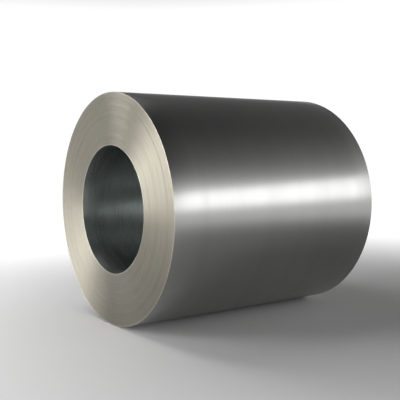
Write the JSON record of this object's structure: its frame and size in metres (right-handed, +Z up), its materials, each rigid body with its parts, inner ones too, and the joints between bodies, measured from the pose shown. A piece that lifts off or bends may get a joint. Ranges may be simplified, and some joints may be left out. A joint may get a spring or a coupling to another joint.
{
  "type": "steel coil",
  "caption": "Coil of cold-rolled steel strip, wound tight into a thick-walled cylinder with an open bore and flat wound ends, lying on its side.",
  "frame": {"origin": "on the floor, under the middle of the coil", "axes": "+X along the bore, from the end that the picture shows to the far end; +Z up"},
  "size_m": [1.002, 0.9279, 0.928],
  "materials": {
    "cold_rolled_steel": "bright rolled face, satin slit edges"
  },
  "bodies": {
    "root": {"coil": "cold_rolled_steel"}
  },
  "joints": []
}
